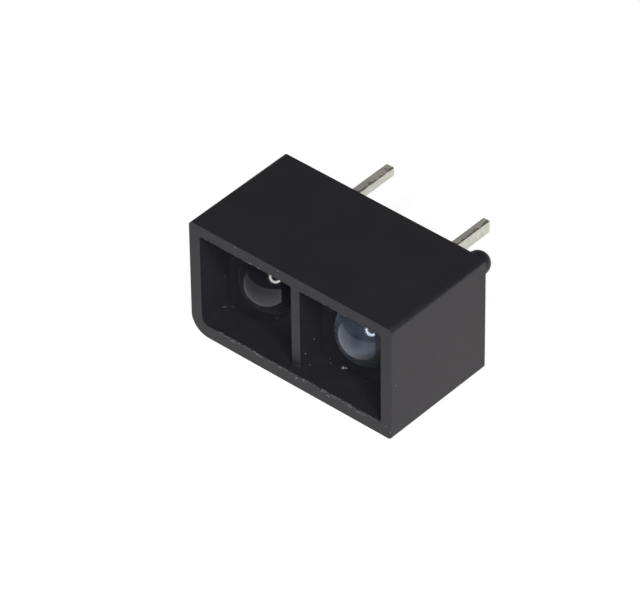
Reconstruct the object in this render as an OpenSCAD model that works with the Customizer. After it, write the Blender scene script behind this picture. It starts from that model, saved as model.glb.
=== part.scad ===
// Reflective optical sensor: an infrared emitter and a phototransistor sit side by side in one
// moulded housing, look out of two windows, and stand on four leads for a circuit board.
// The origin is the middle of the back face, which seats on the board. +Y points into the board,
// +X along the row of the two windows, and +Z is up as the part lies on its long side.

/* [Housing] */
// Width of the housing, along the row of windows
body_w = 10.6; // [10:0.1:14]
// Height of the housing, across the windows
body_h = 5.63; // [5.2:0.01:8]
// Depth of the housing, from the rim to the back face
body_d = 5.75; // [5.6:0.01:8]
// Thickness of the two side walls at the rim
side_wall = 0.56; // [0.3:0.01:0.7]
// Thickness of the top wall at the rim
top_wall = 0.52; // [0.3:0.01:0.7]
// Thickness of the bottom wall at the rim
floor_wall = 0.62; // [0.3:0.01:0.7]
// Radius of the one rounded long edge, which tells the detector's end
key_r = 0.89; // [0.5:0.01:1.3]
// Radius of the other long edges
edge_r = 0.2; // [0.05:0.01:0.3]
// Radius in the corners of the windows
window_r = 0.14; // [0.05:0.01:0.3]

/* [Windows] */
// Depth of both windows, from the rim to their floor
window_d = 1.7; // [1.2:0.05:2]
// Thickness of the divider between the windows
divider_t = 0.45; // [0.3:0.05:0.8]
// How far the divider's front edge stands back from the rim
divider_recess = 0.35; // [0.2:0.05:0.8]
// Radius of the webs in front of the divider, where it meets the bottom and top walls
divider_web_r = 0.25; // [0.1:0.05:0.4]
// Radius beside the divider's head, in the detector's window
divider_head_r = 0.3; // [0.1:0.05:0.5]

/* [Locating pegs] */
// Diameter of the two pegs
peg_d = 1.08; // [0.8:0.02:1.3]
// Length of the pegs beyond the back face, with their round ends
peg_len = 1.18; // [0.8:0.02:1.6]
// Distance of a peg's axis from the side of the housing
peg_inset_x = 0.95; // [0.8:0.05:1.1]
// Distance of a peg's axis from the top or bottom of the housing
peg_inset_z = 1.08; // [0.8:0.01:1.2]

/* [Lenses] */
// Distance between the axes of the emitter and the detector
pair_pitch = 5.08; // [4.6:0.02:5.4]
// How far the lens axes stand above the middle of the housing
lens_rise = 0.1; // [0:0.02:0.2]
// Diameter of the lens bodies and of their domes
lens_d = 3; // [2.7:0.05:3.1]
// How far a dome stands out of the window's floor
dome_stand = 1.15; // [0.8:0.05:1.3]
// Diameter of the flange round the foot of a lens body
flange_d = 3.5; // [3.4:0.05:3.6]
// Thickness of the flange
flange_t = 0.8; // [0.6:0.05:1]
// How far the flange's foot stands in from the back face
foot_recess = 0.5; // [0.2:0.05:0.7]
// Gap all round between a lens body and its bore
lens_gap = 0.05; // [0.03:0.01:0.1]

/* [Leads] */
// Distance between the two leads of one lens body
lead_pitch = 2.54; // [2.3:0.02:2.6]
// Thickness of the sheet that the emitter's leads are stamped from
emitter_lead_t = 0.35; // [0.32:0.01:0.5]
// Width of the emitter's leads
emitter_lead_w = 0.6; // [0.35:0.01:0.65]
// Thickness of the sheet that the detector's leads are stamped from
detector_lead_t = 0.42; // [0.32:0.01:0.5]
// Width of the detector's leads
detector_lead_w = 0.42; // [0.35:0.01:0.65]
// Length of the leads beyond the back face
lead_len = 3.5; // [2.5:0.05:6]
// How much shorter the emitter's cathode lead is cut, to tell it from the anode's
cathode_short = 0.7; // [0:0.05:1]
// Size of the slanted corners at a lead's cut end
lead_chamfer = 0.11; // [0.05:0.01:0.14]
// How far the emitter's upper lead is bent down behind the housing
emitter_lead_drop = 0.32; // [0:0.02:0.4]
// How far the detector's upper lead is bent down behind the housing
detector_lead_drop = 0.08; // [0:0.02:0.4]

/* [Chips] */
// Side of the emitter chip
emitter_chip_w = 0.3; // [0.2:0.02:0.34]
// Height of the emitter chip
emitter_chip_h = 0.2; // [0.12:0.01:0.22]
// Side of the detector chip
detector_chip_w = 0.56; // [0.4:0.02:0.6]
// Height of the detector chip
detector_chip_h = 0.22; // [0.15:0.01:0.3]
// Thickness of the silver epoxy under a chip
die_attach_t = 0.03; // [0.02:0.005:0.04]
// Diameter of the gold bond wires
wire_d = 0.03; // [0.025:0.005:0.05]
// Diameter of the emitter's reflector cup
cup_d = 1; // [0.9:0.05:1.1]
// Side of the detector's square pad
pad_w = 0.84; // [0.8:0.02:1]
// Distance from the middle of the dome back to the chips' top faces
chip_set = 0.92; // [0.8:0.02:1.1]

/* [Hidden] */
$fn = 64;
past = 1;                 // how far a cutting shape runs past the face that it cuts

// Places along Y, from the rim to the board
rim_y = -body_d;
window_y = rim_y + window_d;
dome_y = window_y - dome_stand + lens_d / 2;
foot_y = -foot_recess;
shoulder_y = foot_y - flange_t;
chip_y = dome_y + chip_set;

// Roots of the divider's webs in the walls that they stand on
web_sink = 0.2;

// Places and roots of the pegs
peg_sink = 0.3;
peg_x = body_w / 2 - peg_inset_x;
peg_z = body_h / 2 - peg_inset_z;

// Chip carriers: the cup and the pad are both carrier_h deep under the chip's bond
cup_rim = 0.07;           // flat ring round the mouth of the cup
cup_taper = 0.9;          // radius of the cup's foot, as a share of its mouth's
cup_lip = 0.05;           // how far the cup's mouth stands in front of the chip
cup_floor_margin = 0.05;  // flat ring round the chip on the cup's floor
carrier_h = 0.35;
die_spread = 0.03;        // how far the silver epoxy shows round a chip

// Sections of the leads: thickness and width
emitter_lead_section = [emitter_lead_t, emitter_lead_w];
detector_lead_section = [detector_lead_t, detector_lead_w];

// Lead frame: distances of its inner stretches from the lens axis
post_gap = 0.15;
post_in = cup_d / 2 + post_gap;
post_w = 0.42;
anvil_half = 0.42;
jog_front_y = shoulder_y - 0.05;
jog_back_y = shoulder_y + 0.45;
bend_start_y = 0.15;
bend_end_y = 1.1;
post_slant = 0.12;

// Bond wires
ball_d = 0.09;
ball_h = 0.03;
hollow_sink = 0.01;       // how far the hollows for the inner pieces run into one another
emitter_wire_span = post_in + post_w / 2;
detector_bond_z = 0.14;   // the detector's bond is off the middle of its chip
detector_wire_span = post_in + post_w / 2 - detector_bond_z;

// Turns a shape that stands on +Z so that it points along +Y into the board
module toward_board() { rotate([-90, 0, 0]) children(); }

// Turns an outline drawn as [x, z] into a block from y0 to y1
module block_along_y(y0, y1) {
    translate([0, y1, 0]) rotate([90, 0, 0]) linear_extrude(y1 - y0) children();
}

// Turns an outline drawn as [y, z] into a sheet of thickness t about the plane x = 0
module sheet_across_x(t) {
    rotate([90, 0, 90]) linear_extrude(t, center = true) children();
}

module at_emitter() { translate([pair_pitch / 2, 0, lens_rise]) children(); }
module at_detector() { translate([-pair_pitch / 2, 0, lens_rise]) children(); }

// Housing

// What a corner of radius r loses from a square one, for the corner at the origin
module corner_loss(r) {
    difference() {
        translate([-past, -past]) square(r + past);
        translate([r, r]) circle(r);
    }
}

// Rectangle from p to q whose corners have their own radii:
// low left, low right, high right, high left
module rounded_rect(p, q, radii) {
    difference() {
        translate(p) square(q - p);
        translate(p) corner_loss(radii[0]);
        translate([q[0], p[1]]) mirror([1, 0]) corner_loss(radii[1]);
        translate(q) mirror([1, 0]) mirror([0, 1]) corner_loss(radii[2]);
        translate([p[0], q[1]]) mirror([0, 1]) corner_loss(radii[3]);
    }
}

module housing_outline() {
    rounded_rect([-body_w / 2, -body_h / 2], [body_w / 2, body_h / 2],
                 [key_r, edge_r, edge_r, edge_r]);
}

// Opening inside the rim, from x0 to x1, with the radii of its corners
module window_outline(x0, x1, radii) {
    rounded_rect([x0, -body_h / 2 + floor_wall], [x1, body_h / 2 - top_wall], radii);
}

// The opening is one across the whole rim down to the divider, and two below that
module windows() {
    half = body_w / 2 - side_wall;
    key_window_r = max(key_r - side_wall, window_r);
    block_along_y(rim_y - past, rim_y + divider_recess)
        window_outline(-half, half, [key_window_r, window_r, window_r, window_r]);
    block_along_y(rim_y, window_y)
        window_outline(-half, -divider_t / 2, [key_window_r, window_r, divider_head_r, window_r]);
    block_along_y(rim_y, window_y)
        window_outline(divider_t / 2, half, [window_r, window_r, window_r, window_r]);
}

// Hollow corner in front of the divider, drawn as [y, z] for a wall below it
module web_outline() {
    r = min(divider_web_r, divider_recess);
    difference() {
        translate([-r, -web_sink]) square([r + web_sink, r + web_sink]);
        translate([-r, r]) circle(r);
    }
}

module divider_webs() {
    divider_y = rim_y + divider_recess;
    sheet_across_x(divider_t) {
        translate([divider_y, -body_h / 2 + floor_wall]) web_outline();
        translate([divider_y, body_h / 2 - top_wall]) mirror([0, 1]) web_outline();
    }
}

// Stepped bore for one lens body: it seats with its flange against the shoulder
module lens_bore() {
    translate([0, window_y - past, 0]) toward_board()
        cylinder(d = lens_d + 2 * lens_gap, h = shoulder_y - window_y + 2 * past);
    translate([0, shoulder_y, 0]) toward_board()
        cylinder(d = flange_d + 2 * lens_gap, h = -shoulder_y + past);
}

// Turned locating peg with a round end, whose root is sunk into the back wall
module peg() {
    r = peg_d / 2;
    straight = peg_len - r;
    toward_board() rotate_extrude() {
        translate([0, -peg_sink]) square([r, straight + peg_sink]);
        translate([0, straight]) intersection() {
            circle(r);
            square(r);
        }
    }
}

module housing() {
    color([0.16, 0.16, 0.17]) {
        difference() {
            union() {
                block_along_y(rim_y, 0) housing_outline();
                translate([peg_x, 0, peg_z]) peg();
                translate([-peg_x, 0, -peg_z]) peg();
            }
            windows();
            at_emitter() lens_bore();
            at_detector() lens_bore();
        }
        divider_webs();
    }
}

// Lens bodies

// Outside of a lens body, pointing along +Y: dome, barrel and flange in one turned form
module lens_blank() {
    r = lens_d / 2;
    translate([0, dome_y, 0]) toward_board() rotate_extrude() {
        intersection() {
            circle(r);
            translate([0, -r]) square([r, r]);
        }
        square([r, foot_y - dome_y]);
        translate([0, shoulder_y - dome_y]) square([flange_d / 2, flange_t]);
    }
}

module emitter_lens() {
    color([0.66, 0.72, 0.86, 0.55]) at_emitter() difference() {
        lens_blank();
        emitter_cathode_form();
        emitter_anode_form();
        emitter_chip_form(hollow_sink);
        emitter_die_attach_form(hollow_sink);
        emitter_wire_form(hollow_sink);
    }
}

module detector_lens() {
    color([0.09, 0.09, 0.11]) at_detector() difference() {
        lens_blank();
        detector_collector_form();
        detector_emitter_form();
        detector_chip_form(hollow_sink);
        detector_die_attach_form(hollow_sink);
        detector_wire_form(hollow_sink);
    }
}

// Lead frames

// Stamped strip of one lead, drawn as [y, z] with the lead on the +Z side. section holds its
// thickness and its width, head the points of its front end, from the outer edge to the inner
// one, tip the place of its cut end, and rise how far it is bent up behind the housing.
module lead_strip(section, head, tip, rise) {
    t = section[0];
    w = section[1];
    z_in = lead_pitch / 2 - w / 2;
    z_out = lead_pitch / 2 + w / 2;
    half_t = t / 2;
    c = lead_chamfer;
    intersection() {
        sheet_across_x(t) polygon(concat(head, [
            [jog_front_y, post_in],
            [jog_back_y, z_in],
            [bend_start_y, z_in],
            [bend_end_y, z_in + rise],
            [tip - c, z_in + rise],
            [tip, z_in + rise + c],
            [tip, z_out + rise - c],
            [tip - c, z_out + rise],
            [bend_end_y, z_out + rise],
            [bend_start_y, z_out],
            [jog_back_y, z_out],
            [jog_front_y, post_in + post_w]]));
        translate([0, 0, -body_h]) linear_extrude(2 * body_h) polygon([
            [-half_t, rim_y], [half_t, rim_y], [half_t, tip - c],
            [half_t - c, tip], [c - half_t, tip], [-half_t, tip - c]]);
    }
}

// Lead whose front end is a post that a bond wire lands on
module post_lead(section, rise = 0) {
    lead_strip(section, [[chip_y, post_in + post_w], [chip_y, post_in + post_w / 4],
                         [chip_y + post_slant, post_in]], lead_len, rise);
}

// Lead whose front end widens into an anvil under a chip carrier at anvil_y
module anvil_lead(section, anvil_y, tip, rise = 0) {
    outer = post_in + post_w;
    lead_strip(section, [[anvil_y + outer - anvil_half, outer], [anvil_y, anvil_half],
                         [anvil_y, -anvil_half], [anvil_y + anvil_half, -anvil_half],
                         [jog_front_y - anvil_half, post_in - anvil_half]], tip, rise);
}

// Reflector cup: a turned cone whose floor carries the chip
module cup() {
    r = cup_d / 2;
    floor_r = emitter_chip_w * sqrt(1 / 2) + cup_floor_margin;
    floor_y = emitter_chip_h + die_attach_t + cup_lip;
    translate([0, chip_y - cup_lip, 0]) toward_board() rotate_extrude()
        polygon([[0, floor_y], [floor_r, floor_y], [r - cup_rim, 0], [r, 0],
                 [r * cup_taper, floor_y + carrier_h], [0, floor_y + carrier_h]]);
}

module emitter_cathode_form() {
    cup();
    mirror([0, 0, 1])
        anvil_lead(emitter_lead_section, chip_y + emitter_chip_h + die_attach_t + carrier_h / 2,
                   lead_len - cathode_short);
}

module emitter_anode_form() { post_lead(emitter_lead_section, -emitter_lead_drop); }

module detector_collector_form() {
    pad_y = chip_y + detector_chip_h + die_attach_t;
    translate([-pad_w / 2, pad_y, -pad_w / 2]) cube([pad_w, carrier_h, pad_w]);
    anvil_lead(detector_lead_section, pad_y + carrier_h / 2, lead_len, -detector_lead_drop);
}

module detector_emitter_form() { mirror([0, 0, 1]) post_lead(detector_lead_section); }

module emitter_cathode_lead() { color([0.78, 0.77, 0.74]) at_emitter() emitter_cathode_form(); }
module emitter_anode_lead() { color([0.78, 0.77, 0.74]) at_emitter() emitter_anode_form(); }
module detector_collector_lead() {
    color([0.78, 0.77, 0.74]) at_detector() detector_collector_form();
}
module detector_emitter_lead() { color([0.78, 0.77, 0.74]) at_detector() detector_emitter_form(); }

// Chips, their bonds and their wires. sink makes each form longer towards what it sits on, for
// the one hollow that they share in a lens body.

// Square plate about the lens axis, from y0 to y1
module plate(w, y0, y1) {
    translate([-w / 2, y0, -w / 2]) cube([w, y1 - y0, w]);
}

module emitter_chip_form(sink = 0) {
    plate(emitter_chip_w, chip_y, chip_y + emitter_chip_h + sink);
}
module detector_chip_form(sink = 0) {
    plate(detector_chip_w, chip_y, chip_y + detector_chip_h + sink);
}

module die_attach_form(w, h, sink) {
    plate(w + 2 * die_spread, chip_y + h, chip_y + h + die_attach_t + sink);
}
module emitter_die_attach_form(sink = 0) {
    die_attach_form(emitter_chip_w, emitter_chip_h, sink);
}
module detector_die_attach_form(sink = 0) {
    die_attach_form(detector_chip_w, detector_chip_h, sink);
}

// Half ring of wire from the chip's top face at height z0 to the post at z0 + span, on the same
// plane, with the flattened ball of the bond at the chip and the stitch at the post
module wire_form(z0, span, sink) {
    translate([0, chip_y, z0 + span / 2]) rotate([90, 0, 90])
        rotate([0, 0, 90]) rotate_extrude(angle = 180)
            translate([span / 2, 0]) circle(d = wire_d, $fn = 24);
    for (z = [z0, z0 + span])
        translate([0, chip_y - ball_h, z]) toward_board()
            cylinder(d = ball_d, h = ball_h + sink, $fn = 32);
}

module emitter_wire_form(sink = 0) { wire_form(0, emitter_wire_span, sink); }
module detector_wire_form(sink = 0) {
    mirror([0, 0, 1]) wire_form(detector_bond_z, detector_wire_span, sink);
}

module emitter_chip() { color([0.35, 0.33, 0.36]) at_emitter() emitter_chip_form(); }
module detector_chip() { color([0.30, 0.34, 0.42]) at_detector() detector_chip_form(); }
module emitter_die_attach() { color([0.70, 0.70, 0.72]) at_emitter() emitter_die_attach_form(); }
module detector_die_attach() {
    color([0.70, 0.70, 0.72]) at_detector() detector_die_attach_form();
}
module emitter_bond_wire() { color([0.86, 0.68, 0.24]) at_emitter() emitter_wire_form(); }
module detector_bond_wire() { color([0.86, 0.68, 0.24]) at_detector() detector_wire_form(); }

housing();
emitter_lens();
emitter_cathode_lead();
emitter_anode_lead();
emitter_chip();
emitter_die_attach();
emitter_bond_wire();
detector_lens();
detector_collector_lead();
detector_emitter_lead();
detector_chip();
detector_die_attach();
detector_bond_wire();
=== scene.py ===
"""Looks of a reflective optical sensor: black moulded housing, clear and dark epoxy domes, tinned leads."""
import math
import random

import bmesh
import bpy
from mathutils import Matrix, Vector


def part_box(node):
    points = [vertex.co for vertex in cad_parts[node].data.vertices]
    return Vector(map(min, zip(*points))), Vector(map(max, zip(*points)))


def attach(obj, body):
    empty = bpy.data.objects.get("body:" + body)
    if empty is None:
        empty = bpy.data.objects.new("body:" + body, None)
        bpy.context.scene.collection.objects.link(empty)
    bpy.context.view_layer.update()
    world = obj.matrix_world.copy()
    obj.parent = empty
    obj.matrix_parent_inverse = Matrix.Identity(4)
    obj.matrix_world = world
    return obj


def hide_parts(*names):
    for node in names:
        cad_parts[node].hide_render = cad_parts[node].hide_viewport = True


MM = 0.001
BODY = "root"
RIGHT = Vector((1.0, 0.0, 0.0))
FORWARD = Vector((0.0, -1.0, 0.0))
BACKWARD = Vector((0.0, 1.0, 0.0))
UP = Vector((0.0, 0.0, 1.0))

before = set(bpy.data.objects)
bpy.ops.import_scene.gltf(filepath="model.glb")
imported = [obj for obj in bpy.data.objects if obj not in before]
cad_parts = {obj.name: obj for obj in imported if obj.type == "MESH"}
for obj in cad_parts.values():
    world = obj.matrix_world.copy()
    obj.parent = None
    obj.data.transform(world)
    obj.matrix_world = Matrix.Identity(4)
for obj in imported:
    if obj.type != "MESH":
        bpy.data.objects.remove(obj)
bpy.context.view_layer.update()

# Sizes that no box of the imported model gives, as in the part's source
SIDE_WALL = 0.56 * MM
TOP_WALL = 0.52 * MM
FLOOR_WALL = 0.62 * MM
WINDOW_DEPTH = 1.7 * MM
DIVIDER = 0.45 * MM
LENS_RADIUS = 1.5 * MM
LENS_GAP = 0.05 * MM
FLANGE_DEPTH = 0.8 * MM

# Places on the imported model
HOUSING_LOW, HOUSING_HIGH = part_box("housing")
RIM_Y = HOUSING_LOW.y
RIM_MIDDLE = Vector((0.0, RIM_Y, 0.0))
WINDOW_FLOOR_Y = RIM_Y + WINDOW_DEPTH
FOOT_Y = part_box("emitter_lens")[1].y
OPENING_LOW_Z = HOUSING_LOW.z + FLOOR_WALL
OPENING_HIGH_Z = HOUSING_HIGH.z - TOP_WALL
OPENING_X = HOUSING_HIGH.x - SIDE_WALL

# Rounds on the edges, and the steps of round forms
HOUSING_ROUND = 0.05 * MM
LEAD_ROUND = 0.04 * MM
FLANGE_ROUND = 0.06 * MM
ROUND_SEGMENTS = 2
LEAST_ROUNDED_ANGLE = math.radians(40.0)
FLAT_ANGLE = math.radians(0.5)
WELD_DISTANCE = 1e-8
TURN_SEGMENTS = 144
DOME_STEPS = 60

# A face looks along an axis where its normal's share of that axis is at least this
FACING = 0.9
# A face is in a window from just behind the rim to just past the window's floor, so far inside the sides
BEHIND_RIM = 0.01 * MM
PAST_WINDOW_FLOOR = 0.1 * MM
INSIDE_WALLS = 0.45 * MM

# The lip that closes a bore round the foot of its dome
LIP_SINK = 0.002 * MM
LIP_THICKNESS = 0.04 * MM
LIP_INTO_DOME = 0.004 * MM
LIP_INTO_WALL = 0.03 * MM

# Flash along the windows' edges, and the form of burrs, dust and lint
FLASH_STEP = 0.09 * MM
FLASH_RISE = 0.014 * MM
LOWER_FLASH_ENDS = (-3.9 * MM, 4.6 * MM)
UPPER_FLASH_ENDS = (-4.6 * MM, 4.6 * MM)
FLASH_WIDTH_SHARES = (0.5, 1.4)
FLASH_RISE_SHARES = (0.3, 1.2)
SPECK_SIDES = 9
SPECK_WIDTH_SHARES = (0.7, 1.15)
SPECK_SINK = 0.006 * MM
SPECK_RISE = 0.35
DUST_RISE = 0.55

# Painted shade: the clear dome's colour and reflection turn darker on its lower right, below the line that
# the photograph shows there
LOWER_SHADE_SIDE = (0.5, 0.0, -1.0)
LOWER_SHADE_START = 1.43 * MM
LOWER_SHADE_END = 1.84 * MM
# Painted shade: the clear body's colour is darker round this place, counted from the dome's centre
INNER_SHADOW = Vector((0.333, -1.375, 0.5)) * MM
INNER_SHADOW_CORE = 0.10 * MM
INNER_SHADOW_REACH = 0.46 * MM
# Painted light: the clear dome's sheen grows between these heights, brightening its upper part
SHEEN_START_Z = 0.3 * MM
SHEEN_END_Z = 0.9 * MM

# Painted shade: the dark dome's reflection is weakest at its left limb and grows to its middle, between these
# places counted from its centre
ACROSS_DOME = Vector((0.755, 0.656, 0.0))
REFLECTION_SHADE_START = -1.1 * MM
REFLECTION_SHADE_END = 0.2 * MM

# The dark band on a lead fades in between these distances from its right edge, found clear of the housing
BAND_INNER = 0.21 * MM
BAND_OUTER = 0.04 * MM
CLEAR_OF_HOUSING_Y = 0.5 * MM
# Its level there, plus its raggedness times a noise, turns it on between the two thresholds
BAND_LEVELS = (-0.95, -0.38)
BAND_RAGGEDNESS = 2.4
BAND_THRESHOLDS = (0.50, 0.72)
# A lead's face counts as its upper face between these shares of the way up in its normal
UPWARD = (0.3, 0.9)

# Camera fitted to the photograph: a long lens about 220 mm away, to the right of the rim and above it
PHOTO_WIDTH_PX = 640
FOCAL_PX = 5537.9
SENSOR_WIDTH = 36.0
CAMERA_AZIMUTH = math.radians(41.446)
CAMERA_ELEVATION = math.radians(39.682)
CAMERA_ROLL = math.radians(-0.743)
CAMERA_DISTANCE = 219.547 * MM
CAMERA_NEAREST = 1.0 * MM
CAMERA_FURTHEST = 10.0
RIM_MIDDLE_LEFT_OF_CENTRE = 1.198 * MM
RIM_MIDDLE_BELOW_CENTRE = 1.2695 * MM

# A ring of lamps round the camera, whose reflection shows on both domes
RING_LAMPS = 24
RING_ANGLE = math.radians(17.0)
RING_LAMP_SIZE = 30.0 * MM
RING_RADIANCE = 10.8

FLOOR_SIZE = 3.0
# In reflections the floor's tone turns to another in front of the part and to its right, and dims further off
FLOOR_RIGHTWARD = (1.0, 0.25, 0.0)
FLOOR_RIGHT_START = -5.5 * MM
FLOOR_RIGHT_END = -1.0 * MM
FLOOR_FRONTWARD = (0.25, -1.0, 0.0)
FLOOR_FRONT_START = 4.5 * MM
FLOOR_FRONT_END = 7.5 * MM
FLOOR_FAR_START = 7.5 * MM
FLOOR_FAR_END = 15.0 * MM
FLOOR_FAR_LEVEL = 0.62

# Where the world turns from its front to its back, as the Y of a ray's direction
WORLD_TURN_START = 0.0
WORLD_TURN_END = 0.5

# The middle of a noise's range, over which colours and roughness turn
COLOUR_RANGE = (0.35, 0.65)
ROUGHNESS_RANGE = (0.3, 0.7)
# A fine grain varies a material's roughness between these shares of it
GRAIN_ROUGHNESS_SHARES = (0.8, 1.2)


def rgb(red, green, blue):
    """An opaque linear colour."""
    return red, green, blue, 1.0


# Materials

class Tree:
    """A node tree, with short ways to add and join nodes."""

    def __init__(self, tree):
        self.tree = tree

    def add(self, kind, **values):
        """A new shader node, with its own settings."""
        node = self.tree.nodes.new("ShaderNode" + kind)
        for key, value in values.items():
            setattr(node, key, value)
        return node

    def feed(self, socket, value):
        """Links another node's output to a socket, or sets the socket to a plain value."""
        if isinstance(value, bpy.types.NodeSocket):
            self.tree.links.new(value, socket)
        else:
            socket.default_value = value

    def calculate(self, operation, *values):
        """The result of a Math node."""
        node = self.add("Math", operation=operation)
        for socket, value in zip(node.inputs, values):
            self.feed(socket, value)
        return node.outputs[0]

    def spread(self, value, low, high, to_low=0.0, to_high=1.0, interpolation="LINEAR"):
        """Maps value from low..high to to_low..to_high, clamped."""
        node = self.add("MapRange", interpolation_type=interpolation)
        for key, number in zip(("From Min", "From Max", "To Min", "To Max"), (low, high, to_low, to_high)):
            node.inputs[key].default_value = number
        self.feed(node.inputs["Value"], value)
        return node.outputs["Result"]

    def blend(self, factor, start, end):
        """Colour start where factor is 0, and end where it is 1."""
        node = self.add("Mix", data_type="RGBA")
        colours = [socket for socket in node.inputs if socket.type == "RGBA"]
        for socket, colour in zip(colours, (start, end)):
            self.feed(socket, colour)
        self.feed(node.inputs["Factor"], factor)
        return [socket for socket in node.outputs if socket.type == "RGBA"][0]


class Material(Tree):
    """A material with its shader, and the noises and turns that shape it."""

    def __init__(self, name):
        self.material = bpy.data.materials.new(name)
        self.material.use_nodes = True
        super().__init__(self.material.node_tree)
        self.shader = self.tree.nodes["Principled BSDF"]
        self.output = self.tree.nodes["Material Output"]
        self.place = self.add("TexCoord").outputs["Object"]

    def set(self, **values):
        """Sets or links the shader's inputs, with _ for the spaces in their names."""
        for key, value in values.items():
            self.feed(self.shader.inputs[key.replace("_", " ")], value)

    def noise(self, scale, detail=3.0, roughness=0.5, stretch=(1.0, 1.0, 1.0)):
        """Noise with features about 1 / scale millimetres wide."""
        mapping = self.add("Mapping")
        mapping.inputs["Scale"].default_value = [axis / MM for axis in stretch]
        self.feed(mapping.inputs["Vector"], self.place)
        node = self.add("TexNoise")
        for key, value in (("Vector", mapping.outputs["Vector"]), ("Scale", scale), ("Detail", detail),
                           ("Roughness", roughness)):
            self.feed(node.inputs[key], value)
        return node.outputs["Fac"]

    def mottled(self, noise, dark, light):
        """A colour that turns from dark to light with a noise."""
        return self.blend(self.spread(noise, *COLOUR_RANGE), dark, light)

    def uneven(self, noise, smooth, rough):
        """A roughness that turns from smooth to rough with a noise."""
        return self.spread(noise, *ROUGHNESS_RANGE, smooth, rough)

    def along(self, direction, start, end, to_start=0.0, to_end=1.0):
        """Turns from to_start to to_end as the place's dot product with direction goes from start to end."""
        across = self.add("VectorMath", operation="DOT_PRODUCT")
        self.feed(across.inputs[0], self.place)
        self.feed(across.inputs[1], direction)
        return self.spread(across.outputs["Value"], start, end, to_start, to_end)

    def near(self, point, core, reach):
        """0 within core of a point, 1 beyond reach."""
        away = self.add("VectorMath", operation="DISTANCE")
        self.feed(away.inputs[0], self.place)
        self.feed(away.inputs[1], point)
        return self.spread(away.outputs["Value"], core, reach)

    def bump(self, *layers):
        """Bump from (height, strength, depth in millimetres) layers, one on another."""
        normal = None
        for height, strength, depth in layers:
            node = self.add("Bump")
            node.inputs["Strength"].default_value = strength
            node.inputs["Distance"].default_value = depth * MM
            self.feed(node.inputs["Height"], height)
            if normal is not None:
                self.feed(node.inputs["Normal"], normal)
            normal = node.outputs["Normal"]
        self.set(Normal=normal)


def housing_plastic():
    """Matt black plastic with the fine texture of its mould."""
    skin = Material("housing_plastic")
    grain = skin.noise(14.0, detail=4.0, roughness=0.6)
    clouds = skin.noise(0.9)
    skin.set(Base_Color=skin.mottled(clouds, rgb(0.0142, 0.0138, 0.0166), rgb(0.0162, 0.0157, 0.0188)),
             Roughness=skin.uneven(grain, 0.42, 0.52), IOR=1.5, Specular_IOR_Level=0.32)
    skin.bump((grain, 0.12, 0.01), (skin.noise(3.0, detail=2.0), 0.1, 0.02))
    return skin.material


def window_plastic():
    """The same plastic inside the windows, where the mould is left rough; its colour, a little lighter and
    bluer than the housing's, is partly painted light that stands in for glare over the dark inside.
    """
    skin = Material("window_plastic")
    grain = skin.noise(16.0, detail=4.0, roughness=0.6)
    clouds = skin.noise(1.2)
    skin.set(Base_Color=skin.mottled(clouds, rgb(0.0148, 0.0141, 0.0180), rgb(0.0168, 0.0160, 0.0205)),
             Roughness=skin.uneven(grain, 0.62, 0.75), IOR=1.5, Specular_IOR_Level=0.12,
             Diffuse_Roughness=1.0)
    skin.bump((grain, 0.2, 0.01))
    return skin.material


def dome_centre(node):
    """The centre of a lens body's dome."""
    low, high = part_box(node)
    return Vector(((low.x + high.x) / 2.0, low.y + LENS_RADIUS, (low.z + high.z) / 2.0))


def clear_epoxy():
    """Faintly blue hazy epoxy, with painted shade in its colour round a place inside and on its lower right,
    and painted light in its sheen, which grows towards the top.
    """
    skin = Material("clear_epoxy")
    lower_right_shade = skin.along(LOWER_SHADE_SIDE, LOWER_SHADE_START, LOWER_SHADE_END)
    shadow = dome_centre("emitter_lens") + INNER_SHADOW
    # Its hazy colour, with painted shade: darker round INNER_SHADOW
    haze_and_shade = skin.blend(skin.near(shadow, INNER_SHADOW_CORE, INNER_SHADOW_REACH),
                      rgb(0.038, 0.046, 0.074), rgb(0.086, 0.100, 0.140))
    # Painted shade: on the lower right the colour turns to a flat grey and the reflection's tint to near
    # black
    skin.set(Base_Color=skin.blend(lower_right_shade, haze_and_shade, rgb(0.044, 0.049, 0.054)),
             Specular_Tint=skin.blend(lower_right_shade, rgb(0.80, 0.90, 1.0), rgb(0.05, 0.06, 0.07)),
             Roughness=0.12, IOR=1.58, Transmission_Weight=0.4,
             Sheen_Weight=skin.along(UP, SHEEN_START_Z, SHEEN_END_Z, to_start=0.06, to_end=0.8),
             Sheen_Tint=rgb(0.55, 0.68, 0.90), Sheen_Roughness=0.35)
    skin.bump((skin.noise(1.6, detail=1.0), 0.05, 0.02))
    dye = skin.add("VolumeAbsorption")
    dye.inputs["Color"].default_value = rgb(0.45, 0.50, 0.61)
    dye.inputs["Density"].default_value = 260.0
    skin.feed(skin.output.inputs["Volume"], dye.outputs[0])
    return skin.material


def frosted_epoxy():
    """The foot of the clear body, which its mould leaves rough."""
    skin = Material("frosted_epoxy")
    grain = skin.noise(12.0)
    skin.set(Base_Color=rgb(0.03, 0.035, 0.045), Roughness=skin.uneven(grain, 0.5, 0.7), IOR=1.54)
    skin.bump((grain, 0.3, 0.01))
    return skin.material


def dark_epoxy():
    """Near-black filter epoxy, with painted shade in its reflection, which is weaker at the left limb of its
    dome.
    """
    skin = Material("dark_epoxy")
    middle = ACROSS_DOME.dot(dome_centre("detector_lens"))
    reflection_shade = skin.along(ACROSS_DOME, middle + REFLECTION_SHADE_START, middle + REFLECTION_SHADE_END, to_start=0.15, to_end=0.46)
    skin.set(Base_Color=rgb(0.0120, 0.0114, 0.0150), Roughness=0.10, IOR=1.54, Diffuse_Roughness=1.0,
             Specular_IOR_Level=reflection_shade, Sheen_Weight=0.025, Sheen_Roughness=0.5)
    skin.bump((skin.noise(1.6, detail=1.0), 0.05, 0.02))
    return skin.material


def right_edge(node):
    """The x of a lead's right side, clear of the housing."""
    return max(v.co.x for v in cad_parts[node].data.vertices if v.co.y > CLEAR_OF_HOUSING_Y)


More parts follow.
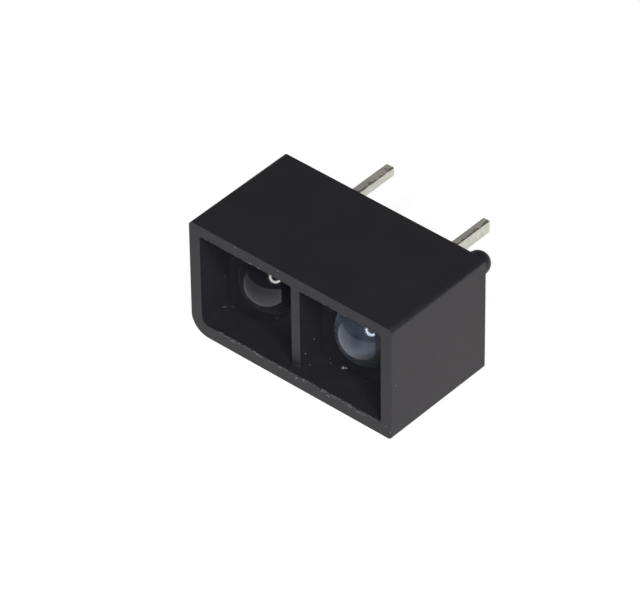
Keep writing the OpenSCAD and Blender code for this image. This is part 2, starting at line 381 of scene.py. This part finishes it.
def tinned_metal(node):
    """Dull tin, with painted light on its upper face, which is lighter and yellower than its sides, and a
    ragged dark band there beside its sheared right edge.
    """
    skin = Material("tin_of_" + node)
    streaks = skin.noise(9.0, detail=4.0, stretch=(1.0, 0.12, 1.0))
    rags = skin.noise(4.5, detail=4.0, roughness=0.7, stretch=(1.0, 0.6, 1.0))
    edge = right_edge(node)
    nearness = skin.along(RIGHT, edge - BAND_INNER, edge - BAND_OUTER, *BAND_LEVELS)
    band = skin.spread(skin.calculate("MULTIPLY_ADD", rags, BAND_RAGGEDNESS, nearness), *BAND_THRESHOLDS)
    facing = skin.add("SeparateXYZ")
    skin.feed(facing.inputs[0], skin.add("NewGeometry").outputs["Normal"])
    upward = skin.spread(facing.outputs["Z"], *UPWARD)
    # Painted light: the upper face gets a lighter, yellower copy of the tin than the sides
    tin = skin.mottled(skin.noise(4.0), rgb(0.50, 0.52, 0.46), rgb(0.60, 0.62, 0.56))
    lit_upper_tin = skin.mottled(streaks, rgb(0.70, 0.665, 0.55), rgb(0.88, 0.84, 0.71))
    skin.set(Base_Color=skin.blend(skin.calculate("MULTIPLY", upward, band),
                                   skin.blend(upward, tin, lit_upper_tin), rgb(0.30, 0.26, 0.21)),
             Roughness=skin.uneven(streaks, 0.22, 0.42), Metallic=0.75)
    skin.bump((streaks, 0.3, 0.01))
    return skin.material


def shaded_frame():
    """The lead frame inside the bodies, a rough grey that is darker than the tin outside: painted shade."""
    skin = Material("shaded_frame")
    grain = skin.noise(8.0)
    skin.set(Base_Color=skin.mottled(grain, rgb(0.16, 0.16, 0.18), rgb(0.24, 0.24, 0.27)),
             Roughness=0.8, Specular_IOR_Level=0.1)
    skin.bump((grain, 0.2, 0.01))
    return skin.material


def grained(name, dark, light, roughness, metallic=0.0):
    """A plain material with a fine grain in its colour, roughness and bump."""
    skin = Material(name)
    grain = skin.noise(12.0)
    smooth, rough = (roughness * share for share in GRAIN_ROUGHNESS_SHARES)
    skin.set(Base_Color=skin.mottled(grain, dark, light), Roughness=skin.uneven(grain, smooth, rough),
             Metallic=metallic)
    skin.bump((grain, 0.2, 0.005))
    return skin.material


# Meshes

def finished(bm, name):
    """The mesh of a bmesh, which it frees."""
    mesh = bpy.data.meshes.new(name)
    bm.to_mesh(mesh)
    bm.free()
    return mesh


def link(mesh, name, material, smooth=True):
    """Puts a mesh into the scene as a piece that rides on the part."""
    piece = bpy.data.objects.new(name, mesh)
    bpy.context.scene.collection.objects.link(piece)
    piece.data.materials.append(material)
    for face in piece.data.polygons:
        face.use_smooth = smooth
    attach(piece, BODY)
    return piece


def add_material(piece, material, where):
    """Gives a second material to the faces for which where is true."""
    piece.data.materials.append(material)
    for face in piece.data.polygons:
        if where(face):
            face.material_index = 1


def in_window(face):
    """Is a face inside a window: behind the rim, inside the walls, and not the divider's front?"""
    place = face.center
    depth = place.y - RIM_Y
    divider_front = face.normal.y < -FACING and depth < WINDOW_DEPTH / 2.0
    behind_rim = BEHIND_RIM < depth < WINDOW_DEPTH + PAST_WINDOW_FLOOR
    beside_wall = abs(place.x) < HOUSING_HIGH.x - INSIDE_WALLS
    between_walls = HOUSING_LOW.z + INSIDE_WALLS < place.z < HOUSING_HIGH.z - INSIDE_WALLS
    return behind_rim and beside_wall and between_walls and not divider_front


def in_body(face):
    """Is a lead's face inside its lens body?"""
    return face.center.y < FOOT_Y


def on_foot(face):
    """Is a lens body's face on its foot?"""
    return face.normal.y > FACING


def clean_copy(node):
    """A node's mesh with its split corners welded and its flat faces whole."""
    bm = bmesh.new()
    bm.from_mesh(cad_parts[node].data)
    bmesh.ops.remove_doubles(bm, verts=bm.verts, dist=WELD_DISTANCE)
    bmesh.ops.dissolve_limit(bm, angle_limit=FLAT_ANGLE, verts=bm.verts, edges=bm.edges)
    return bm


def cut_at(bm, y):
    """Splits the faces that cross a plane, so that each side can have its own material."""
    everything = list(bm.verts) + list(bm.edges) + list(bm.faces)
    bmesh.ops.bisect_plane(bm, geom=everything, plane_co=(0.0, y, 0.0), plane_no=BACKWARD)


def mark_edges(bm):
    """Weighs the outer edges for rounding, and keeps the inner corners sharp."""
    weight = bm.edges.layers.float.new("bevel_weight_edge")
    for edge in bm.edges:
        if len(edge.link_faces) == 2 and edge.calc_face_angle() > LEAST_ROUNDED_ANGLE:
            if edge.calc_face_angle_signed() > 0.0:
                edge[weight] = 1.0
            else:
                edge.smooth = False


def add_rounds(piece, width):
    """Rounds the weighed edges, and keeps the flat faces flat in their shading."""
    bevel = piece.modifiers.new("rounds", "BEVEL")
    bevel.width = width
    bevel.segments = ROUND_SEGMENTS
    bevel.limit_method = "WEIGHT"
    bevel.harden_normals = True
    bevel.use_clamp_overlap = True
    flat = piece.modifiers.new("flat_faces", "WEIGHTED_NORMAL")
    flat.weight = 100
    flat.keep_sharp = True


def bevelled(node, name, material, width, other, where, cut_y=None):
    """A piece that stands for a node, with that node's form, small rounds on its edges and two materials."""
    bm = clean_copy(node)
    if cut_y is not None:
        cut_at(bm, cut_y)
    mark_edges(bm)
    piece = link(finished(bm, name), name, material)
    add_material(piece, other, where)
    add_rounds(piece, width)
    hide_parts(node)


def ring_points(bm, centre, radius, y):
    """Points round a line along Y, or one point where the radius is 0."""
    if radius == 0.0:
        return [bm.verts.new((centre.x, y, centre.z))]
    turns = [2.0 * math.pi * k / TURN_SEGMENTS for k in range(TURN_SEGMENTS)]
    return [bm.verts.new((centre.x + radius * math.cos(turn), y, centre.z + radius * math.sin(turn)))
            for turn in turns]


def join_rings(bm, rings):
    """Faces between each ring of points and the next; a ring of one point is a pole."""
    for ring, after in zip(rings, rings[1:]):
        count = max(len(ring), len(after))
        for here in range(count):
            there = (here + 1) % count
            corners = (ring[here % len(ring)], after[here % len(after)],
                       after[there % len(after)], ring[there % len(ring)])
            bm.faces.new(tuple(dict.fromkeys(corners)))


def turned(name, profile, centre, material):
    """A piece of revolution about a line along Y through centre, from (radius, y) points."""
    bm = bmesh.new()
    join_rings(bm, [ring_points(bm, centre, radius, y) for radius, y in profile])
    bmesh.ops.recalc_face_normals(bm, faces=bm.faces)
    return link(finished(bm, name), name, material)


def lens_profile(low, high):
    """Outline of a lens body as (radius, y), from the top of its dome to the middle of its foot."""
    dome_y = low.y + LENS_RADIUS
    points = [(0.0, low.y)]
    for step in range(1, DOME_STEPS + 1):
        angle = math.pi / 2.0 * step / DOME_STEPS
        points.append((LENS_RADIUS * math.sin(angle), dome_y - LENS_RADIUS * math.cos(angle)))
    flange = (high.x - low.x) / 2.0
    shoulder_y = high.y - FLANGE_DEPTH
    return points + [(LENS_RADIUS, shoulder_y), (flange - FLANGE_ROUND, shoulder_y),
                     (flange, shoulder_y + FLANGE_ROUND), (flange, high.y - FLANGE_ROUND),
                     (flange - FLANGE_ROUND, high.y), (0.0, high.y)]


def lens(node, name, material, foot):
    """A piece that stands for a lens body, with a smooth dome and another material on its foot."""
    low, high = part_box(node)
    piece = turned(name, lens_profile(low, high), (low + high) / 2.0, material)
    add_material(piece, foot, on_foot)
    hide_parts(node)


def bore_mouth(node, name, material):
    """The lip of a bore in the window's floor, close round the foot of its dome."""
    low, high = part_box(node)
    dome_depth = low.y + LENS_RADIUS - WINDOW_FLOOR_Y
    inner = math.sqrt(LENS_RADIUS ** 2 - dome_depth ** 2) - LIP_INTO_DOME
    front_y = WINDOW_FLOOR_Y + LIP_SINK
    profile = [(inner, WINDOW_FLOOR_Y + LIP_THICKNESS), (inner, front_y),
               (LENS_RADIUS + LENS_GAP + LIP_INTO_WALL, front_y)]
    turned(name, profile, (low + high) / 2.0, material)


# Flash, burrs and dust

def flash(name, ends, z, out, reach, width, seed, material):
    """A thin uneven seam on the rim's edge: it reaches out over the opening and stands proud of the rim."""
    rng = random.Random(seed)
    start, end = (Vector((x, RIM_Y, z)) for x in ends)
    steps = round((end - start).length / FLASH_STEP)
    bm = bmesh.new()
    rings = []
    for step in range(steps + 1):
        place = start.lerp(end, step / steps)
        wide = width * rng.uniform(*FLASH_WIDTH_SHARES)
        beyond = reach * rng.random() ** 2
        # Foot on the rim, ridge, ragged edge over the opening, and two corners sunk behind the rim
        section = (place - out * wide - FORWARD * FLASH_RISE * 0.5,
                   place - out * wide * 0.3 + FORWARD * FLASH_RISE * rng.uniform(*FLASH_RISE_SHARES),
                   place + out * beyond + FORWARD * FLASH_RISE * 0.2,
                   place + out * beyond * 0.5 - FORWARD * reach,
                   place - out * wide * 0.5 - FORWARD * reach)
        rings.append([bm.verts.new(point) for point in section])
    join_rings(bm, rings)
    bm.faces.new(rings[0])
    bm.faces.new(rings[-1])
    bmesh.ops.recalc_face_normals(bm, faces=bm.faces)
    link(finished(bm, name), name, material, smooth=False)


def add_speck(bm, rng, mark, rise):
    """One low lump with an uneven outline, from (place, normal, direction, length, width) in millimetres."""
    place, normal, direction, length, width = mark
    centre = Vector(place) * MM
    ahead = (Vector(direction) - normal * Vector(direction).dot(normal)).normalized()
    aside = normal.cross(ahead)
    ring = []
    for k in range(SPECK_SIDES):
        turn = 2.0 * math.pi * k / SPECK_SIDES
        half = rng.uniform(*SPECK_WIDTH_SHARES) * MM / 2.0
        ring.append(bm.verts.new(centre + ahead * math.cos(turn) * length * half
                                 + aside * math.sin(turn) * width * half - normal * SPECK_SINK))
    top = bm.verts.new(centre + normal * min(length, width) * rise * MM)
    for k in range(SPECK_SIDES):
        bm.faces.new((ring[k], ring[(k + 1) % SPECK_SIDES], top))
    bm.faces.new(ring)


def specks(name, marks, seed, material, rise=SPECK_RISE):
    """Small lumps on the part's faces, whose height is a share of their width."""
    rng = random.Random(seed)
    bm = bmesh.new()
    for mark in marks:
        add_speck(bm, rng, mark, rise)
    bmesh.ops.recalc_face_normals(bm, faces=bm.faces)
    link(finished(bm, name), name, material, smooth=False)


def on_rim(x, z, direction, length, width):
    """A mark on the front of the rim, in millimetres."""
    return (x, RIM_Y / MM, z), FORWARD, direction, length, width


def on_sill(x, y, direction, length, width):
    """A mark on the lower wall, inside a window, in millimetres."""
    return (x, y, OPENING_LOW_Z / MM), UP, direction, length, width


# Faces that carry a few marks, and the way out of the window's round corner
DIVIDER_SIDE = DIVIDER / 2.0 / MM
LEFT_WALL = -OPENING_X / MM
RIGHT_FACE = HOUSING_HIGH.x / MM
WINDOW_FLOOR = WINDOW_FLOOR_Y / MM
OUT_OF_KEY_CORNER = Vector((0.7, 0.0, 0.7))

# Marks as the photograph shows them: place, direction of the length, length and width, in millimetres
BURRS = (
    on_rim(-3.10, -2.28, RIGHT, 0.26, 0.07), on_rim(-1.79, -2.27, RIGHT, 0.17, 0.09),
    on_rim(-1.60, -2.27, RIGHT, 0.18, 0.08), on_rim(-0.59, -2.26, RIGHT, 0.22, 0.07),
    on_rim(0.69, -2.25, RIGHT, 0.20, 0.08), on_rim(1.64, -2.27, UP, 0.20, 0.06),
    on_rim(1.98, -2.34, RIGHT, 0.30, 0.07), on_rim(3.10, -2.27, RIGHT, 0.46, 0.05),
    on_rim(3.55, -2.31, (1.0, 0.0, -0.12), 0.44, 0.06), on_rim(3.84, -2.30, RIGHT, 0.26, 0.05),
    on_rim(5.01, -2.25, UP, 0.10, 0.06), on_rim(5.24, -2.43, UP, 0.16, 0.05),
    on_rim(-0.58, 2.72, RIGHT, 0.14, 0.06), on_rim(-2.83, 2.72, RIGHT, 0.16, 0.06),
    on_rim(-2.05, 2.33, RIGHT, 0.34, 0.05), on_rim(-1.62, 2.33, RIGHT, 0.22, 0.06),
    ((RIGHT_FACE, -5.48, -0.13), RIGHT, (0.0, 1.0, 0.5), 0.11, 0.05),
)
DUST = (
    on_rim(0.29, -2.34, (1.0, 0.0, 0.5), 0.18, 0.12), on_sill(1.43, -4.19, RIGHT, 0.18, 0.20),
    on_sill(1.53, -4.12, RIGHT, 0.14, 0.12), on_sill(0.30, -4.91, RIGHT, 0.08, 0.08),
)
LINT = (
    ((DIVIDER_SIDE, -4.56, -1.11), RIGHT, UP, 0.12, 0.08),
    ((DIVIDER_SIDE, -5.09, -1.52), RIGHT, UP, 0.11, 0.09),
    on_sill(0.66, -4.10, (0.72, -0.7, 0.0), 0.16, 0.05), on_sill(0.86, -4.29, (0.72, -0.7, 0.0), 0.26, 0.045),
    on_sill(-4.50, -4.22, (0.9, 0.44, 0.0), 0.46, 0.045),
    ((-4.64, -4.50, -2.10), OUT_OF_KEY_CORNER, (0.25, 1.0, -0.25), 0.40, 0.05),
    ((-2.20, WINDOW_FLOOR, -1.66), FORWARD, (0.9, 0.0, 0.44), 0.34, 0.05),
    ((LEFT_WALL, -4.31, -0.65), RIGHT, UP, 0.10, 0.06),
    on_sill(0.24, -4.12, RIGHT, 0.12, 0.10),
)
CRUMBS = (
    on_sill(-3.70, -5.05, RIGHT, 0.12, 0.07), on_sill(-3.06, -5.16, RIGHT, 0.10, 0.06),
    on_sill(-2.28, -5.32, RIGHT, 0.12, 0.06), on_sill(2.62, -4.24, RIGHT, 0.10, 0.07),
)


def add_details(plastic):
    """Flash on the windows' edges, and burrs, dust, lint and crumbs of plastic."""
    worn = grained("worn_plastic", rgb(0.12, 0.116, 0.12), rgb(0.22, 0.21, 0.22), 0.6)
    dust = grained("dust", rgb(0.12, 0.117, 0.12), rgb(0.26, 0.255, 0.255), 0.9)
    lint = grained("lint", rgb(0.08, 0.077, 0.085), rgb(0.13, 0.126, 0.14), 0.9)
    seam = grained("flash_plastic", rgb(0.024, 0.023, 0.025), rgb(0.040, 0.039, 0.042), 0.45)
    flash("lower_flash", LOWER_FLASH_ENDS, OPENING_LOW_Z, UP, reach=0.09 * MM, width=0.07 * MM, seed=3,
          material=seam)
    flash("upper_flash", UPPER_FLASH_ENDS, OPENING_HIGH_Z, -UP, reach=0.025 * MM, width=0.03 * MM, seed=4,
          material=seam)
    specks("burrs", BURRS, seed=5, material=worn)
    specks("dust_grains", DUST, seed=6, material=dust, rise=DUST_RISE)
    specks("lint_specks", LINT, seed=7, material=lint)
    specks("plastic_crumbs", CRUMBS, seed=8, material=plastic)


# Stage, lights and camera

def view_axes():
    """Camera's right, up and back directions."""
    back = Vector((math.sin(CAMERA_AZIMUTH) * math.cos(CAMERA_ELEVATION),
                   -math.cos(CAMERA_AZIMUTH) * math.cos(CAMERA_ELEVATION), math.sin(CAMERA_ELEVATION)))
    right = UP.cross(back).normalized()
    roll = Matrix.Rotation(CAMERA_ROLL, 3, back)
    return roll @ right, roll @ back.cross(right), back


def add_camera():
    """The photograph's camera."""
    right, up, back = view_axes()
    data = bpy.data.cameras.new("photo_camera")
    data.sensor_width = SENSOR_WIDTH
    data.lens = FOCAL_PX / PHOTO_WIDTH_PX * SENSOR_WIDTH
    data.clip_start = CAMERA_NEAREST
    data.clip_end = CAMERA_FURTHEST
    camera = bpy.data.objects.new("photo_camera", data)
    place = (RIM_MIDDLE + back * CAMERA_DISTANCE + right * RIM_MIDDLE_LEFT_OF_CENTRE
             + up * RIM_MIDDLE_BELOW_CENTRE)
    camera.matrix_world = Matrix.Translation(place) @ Matrix((right, up, back)).transposed().to_4x4()
    bpy.context.scene.collection.objects.link(camera)
    bpy.context.scene.camera = camera


def add_lamp(name, place):
    """Round lamp that faces the part, with the ring's radiance on its face."""
    data = bpy.data.lights.new(name, "AREA")
    data.shape = "DISK"
    data.size = RING_LAMP_SIZE
    face_area = math.pi * RING_LAMP_SIZE * RING_LAMP_SIZE / 4.0
    data.energy = math.pi * face_area * RING_RADIANCE
    lamp = bpy.data.objects.new(name, data)
    aim = (RIM_MIDDLE - place).to_track_quat("-Z", "Y").to_matrix().to_4x4()
    lamp.matrix_world = Matrix.Translation(place) @ aim
    bpy.context.scene.collection.objects.link(lamp)


def add_lights():
    """A ring of lamps in the camera's plane."""
    right, up, back = view_axes()
    radius = CAMERA_DISTANCE * math.tan(RING_ANGLE)
    for k in range(RING_LAMPS):
        turn = 2.0 * math.pi * k / RING_LAMPS
        place = RIM_MIDDLE + back * CAMERA_DISTANCE + (right * math.cos(turn) + up * math.sin(turn)) * radius
        add_lamp(f"ring_{k}", place)


def white_floor():
    """White for the camera, pale in reflections and through glass, and a plain matt floor for other light."""
    skin = Material("white_floor")
    skin.set(Base_Color=rgb(0.8, 0.8, 0.8), Roughness=0.9, Specular_IOR_Level=0.0)
    rays = skin.add("LightPath").outputs
    for_camera = rays["Is Camera Ray"]
    mirrored = skin.calculate("MAXIMUM", for_camera, rays["Is Glossy Ray"])
    seen = skin.calculate("MAXIMUM", mirrored, rays["Is Transmission Ray"])
    rightward = skin.along(FLOOR_RIGHTWARD, FLOOR_RIGHT_START, FLOOR_RIGHT_END)
    frontward = skin.along(FLOOR_FRONTWARD, FLOOR_FRONT_START, FLOOR_FRONT_END)
    reflected = skin.blend(skin.calculate("MULTIPLY", rightward, frontward), rgb(1.0, 0.945, 0.94),
                           rgb(0.935, 0.89, 0.90))
    level = skin.along(FORWARD, FLOOR_FAR_START, FLOOR_FAR_END, 1.0, FLOOR_FAR_LEVEL)
    glow = skin.add("Emission")
    skin.feed(glow.inputs["Color"], skin.blend(for_camera, reflected, rgb(0.88, 0.88, 0.88)))
    skin.feed(glow.inputs["Strength"], skin.calculate("MAXIMUM", for_camera, level))
    faint = skin.add("BsdfDiffuse")
    faint.inputs["Color"].default_value = rgb(0.25, 0.25, 0.25)
    lit = skin.add("AddShader")
    skin.feed(lit.inputs[0], glow.outputs[0])
    skin.feed(lit.inputs[1], faint.outputs[0])
    mix = skin.add("MixShader")
    for socket, source in zip(mix.inputs, (seen, skin.shader.outputs[0], lit.outputs[0])):
        skin.feed(socket, source)
    skin.feed(skin.output.inputs["Surface"], mix.outputs[0])
    return skin.material


def add_floor():
    """The floor that the part lies on."""
    bm = bmesh.new()
    bmesh.ops.create_grid(bm, x_segments=1, y_segments=1, size=FLOOR_SIZE / 2.0)
    floor = bpy.data.objects.new("floor", finished(bm, "floor"))
    floor.location.z = HOUSING_LOW.z
    bpy.context.scene.collection.objects.link(floor)
    floor.data.materials.append(white_floor())


def add_world():
    """White for the camera; for other rays dim in front and brighter behind the part."""
    world = bpy.data.worlds.new("studio")
    world.use_nodes = True
    sky = Tree(world.node_tree)
    direction = sky.add("SeparateXYZ")
    sky.feed(direction.inputs[0], sky.add("TexCoord").outputs["Generated"])
    turn = sky.spread(direction.outputs["Y"], WORLD_TURN_START, WORLD_TURN_END, interpolation="SMOOTHSTEP")
    around = sky.blend(turn, rgb(0.04, 0.04, 0.048), rgb(0.22, 0.22, 0.25))
    seen = sky.blend(sky.add("LightPath").outputs["Is Camera Ray"], around, rgb(1.0, 1.0, 1.0))
    sky.feed(sky.tree.nodes["Background"].inputs["Color"], seen)
    bpy.context.scene.world = world


bpy.context.scene.view_settings.view_transform = "Standard"
add_camera()
add_floor()
add_world()
add_lights()

plastic = housing_plastic()
rough_plastic = window_plastic()
shaded_frame_metal = shaded_frame()
gold = grained("gold", rgb(0.75, 0.52, 0.16), rgb(0.9, 0.66, 0.24), 0.25, metallic=1.0)
silver = grained("silver_epoxy", rgb(0.45, 0.45, 0.46), rgb(0.65, 0.65, 0.66), 0.5, metallic=0.8)
chip = grained("chip", rgb(0.08, 0.08, 0.10), rgb(0.14, 0.13, 0.16), 0.3)

bevelled("housing", "moulded_housing", plastic, HOUSING_ROUND, rough_plastic, in_window)
lens("emitter_lens", "clear_lens_body", clear_epoxy(), frosted_epoxy())
lens("detector_lens", "dark_lens_body", dark_epoxy(),
     grained("dark_foot", rgb(0.010, 0.0095, 0.012), rgb(0.016, 0.015, 0.019), 0.55))
for side in ("emitter", "detector"):
    bore_mouth(side + "_lens", side + "_bore_mouth", rough_plastic)
for lead in ("emitter_cathode", "emitter_anode", "detector_collector", "detector_emitter"):
    node = lead + "_lead"
    bevelled(node, "tinned_" + node, tinned_metal(node), LEAD_ROUND, shaded_frame_metal, in_body,
             cut_y=FOOT_Y)
add_details(plastic)
for ending, material in (("_chip", chip), ("_die_attach", silver), ("_bond_wire", gold)):
    for side in ("emitter", "detector"):
        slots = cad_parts[side + ending].data.materials
        slots.clear()
        slots.append(material)
